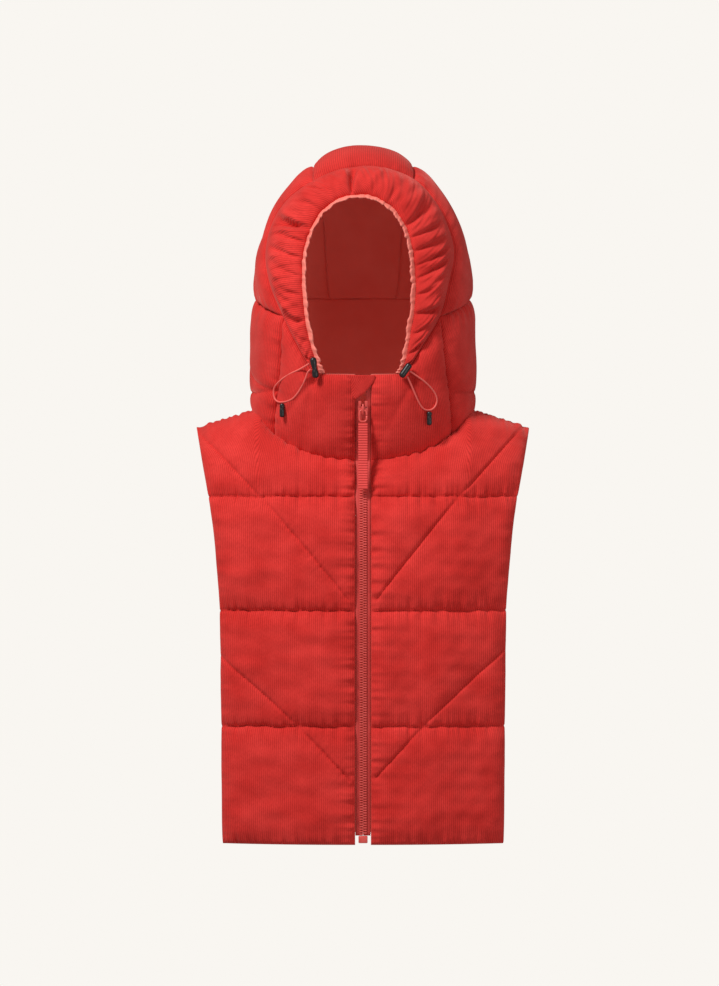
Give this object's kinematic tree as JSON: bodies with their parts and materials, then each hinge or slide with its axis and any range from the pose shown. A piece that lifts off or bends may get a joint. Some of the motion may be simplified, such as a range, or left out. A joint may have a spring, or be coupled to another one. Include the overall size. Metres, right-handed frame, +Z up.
{
  "type": "hooded puffer bib vest",
  "caption": "Sleeveless corduroy puffer bib with open sides, quilted fronts, full zip and a gathered drawcord hood, filled out as worn.",
  "frame": {"origin": "middle of the neck, level with the top of the shoulder seams", "axes": "+Z up, -Y is the front, +X is the wearer's left"},
  "size_m": [0.4306, 0.2917, 0.9013],
  "materials": {
    "corduroy": "fine-wale corduroy, matt, soft nap",
    "lining": "smooth woven lining",
    "zip_tape": "woven zip tape",
    "zip_plastic": "moulded coral plastic",
    "webbing": "ribbed webbing",
    "cord": "braided elastic cord",
    "black_plastic": "moulded black plastic"
  },
  "bodies": {
    "garment": {"front_right": "corduroy", "front_left": "corduroy", "back": "corduroy", "collar_right": "corduroy", "collar_left": "corduroy", "hood_base": "corduroy", "hood_side_right": "corduroy", "hood_side_left": "corduroy", "hood_crown": "corduroy", "hood_brim": "corduroy", "hood_facing": "lining", "hood_lining": "lining", "zip_garage": "corduroy", "zip_tape_right": "zip_tape", "zip_tape_left": "zip_tape", "zip_chain_right": "zip_plastic", "zip_chain_left": "zip_plastic", "zip_box": "zip_plastic", "cord_right": "cord", "cord_left": "cord", "cord_lock_right": "black_plastic", "cord_lock_left": "black_plastic", "cord_end_right": "black_plastic", "cord_end_left": "black_plastic", "zip_slider": "zip_plastic"},
    "zip_pull": {"zip_pull_loop": "zip_plastic", "zip_pull_webbing": "webbing"}
  },
  "joints": [
    {"name": "zip_pull_swing", "type": "hinge", "parent": "garment", "child": "zip_pull", "pos_m": [0, -0.11945, -0.00019], "axis": [1, 0, 0], "range_deg": [-95, 0]}
  ]
}
